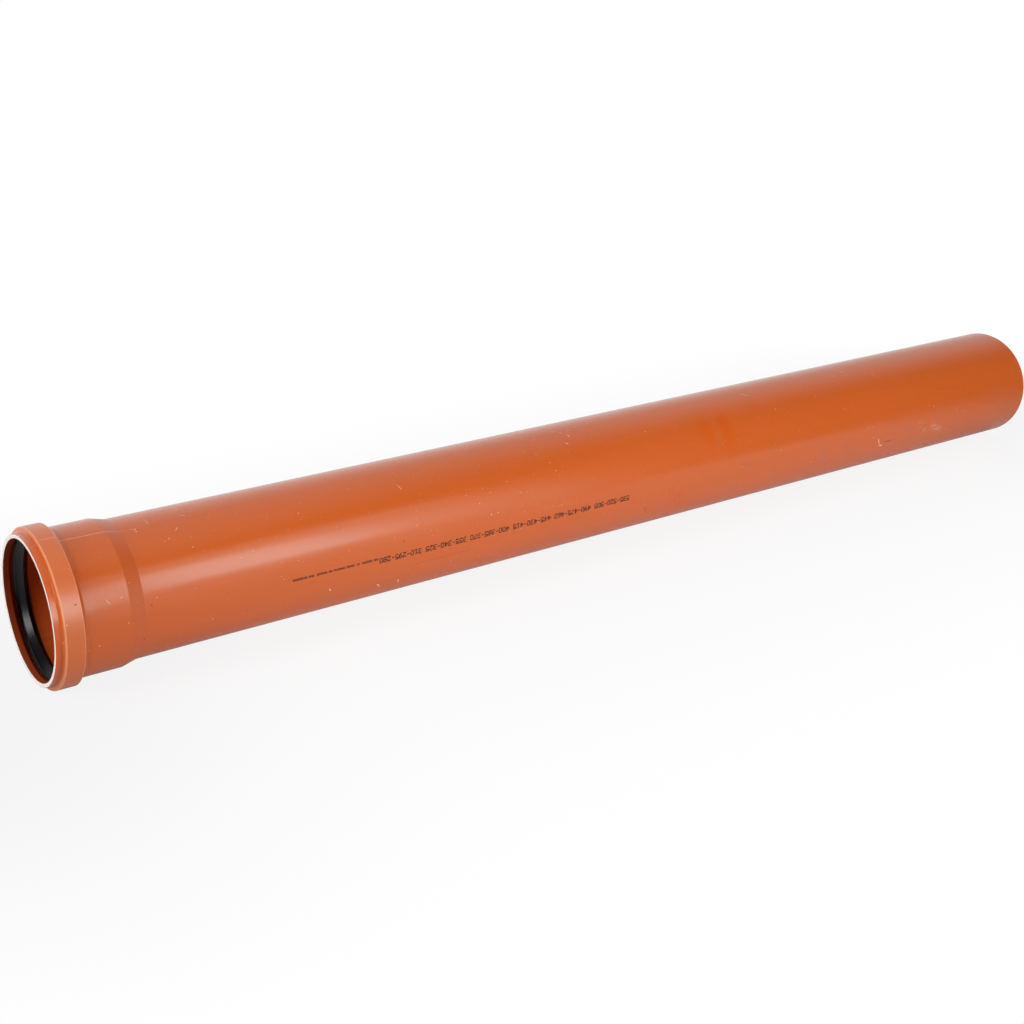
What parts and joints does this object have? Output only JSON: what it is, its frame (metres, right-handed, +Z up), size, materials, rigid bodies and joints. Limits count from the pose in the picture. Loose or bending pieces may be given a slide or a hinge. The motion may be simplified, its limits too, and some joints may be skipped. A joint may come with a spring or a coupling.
{
  "type": "pvc sewer pipe",
  "caption": "Straight rigid plastic drain pipe with a plain chamfered spigot end and a widened socket end that holds a rubber seal ring.",
  "frame": {"origin": "middle of the pipe's length, on the floor plane that the socket's bead rests on", "axes": "+X along the pipe from the socket to the spigot end, +Z up, the pipe lying level"},
  "size_m": [1.11, 0.1256, 0.1255],
  "materials": {
    "pvc": "satin",
    "seal_rubber": "matte"
  },
  "bodies": {
    "root": {"pipe": "pvc", "seal_ring": "seal_rubber"}
  },
  "joints": []
}
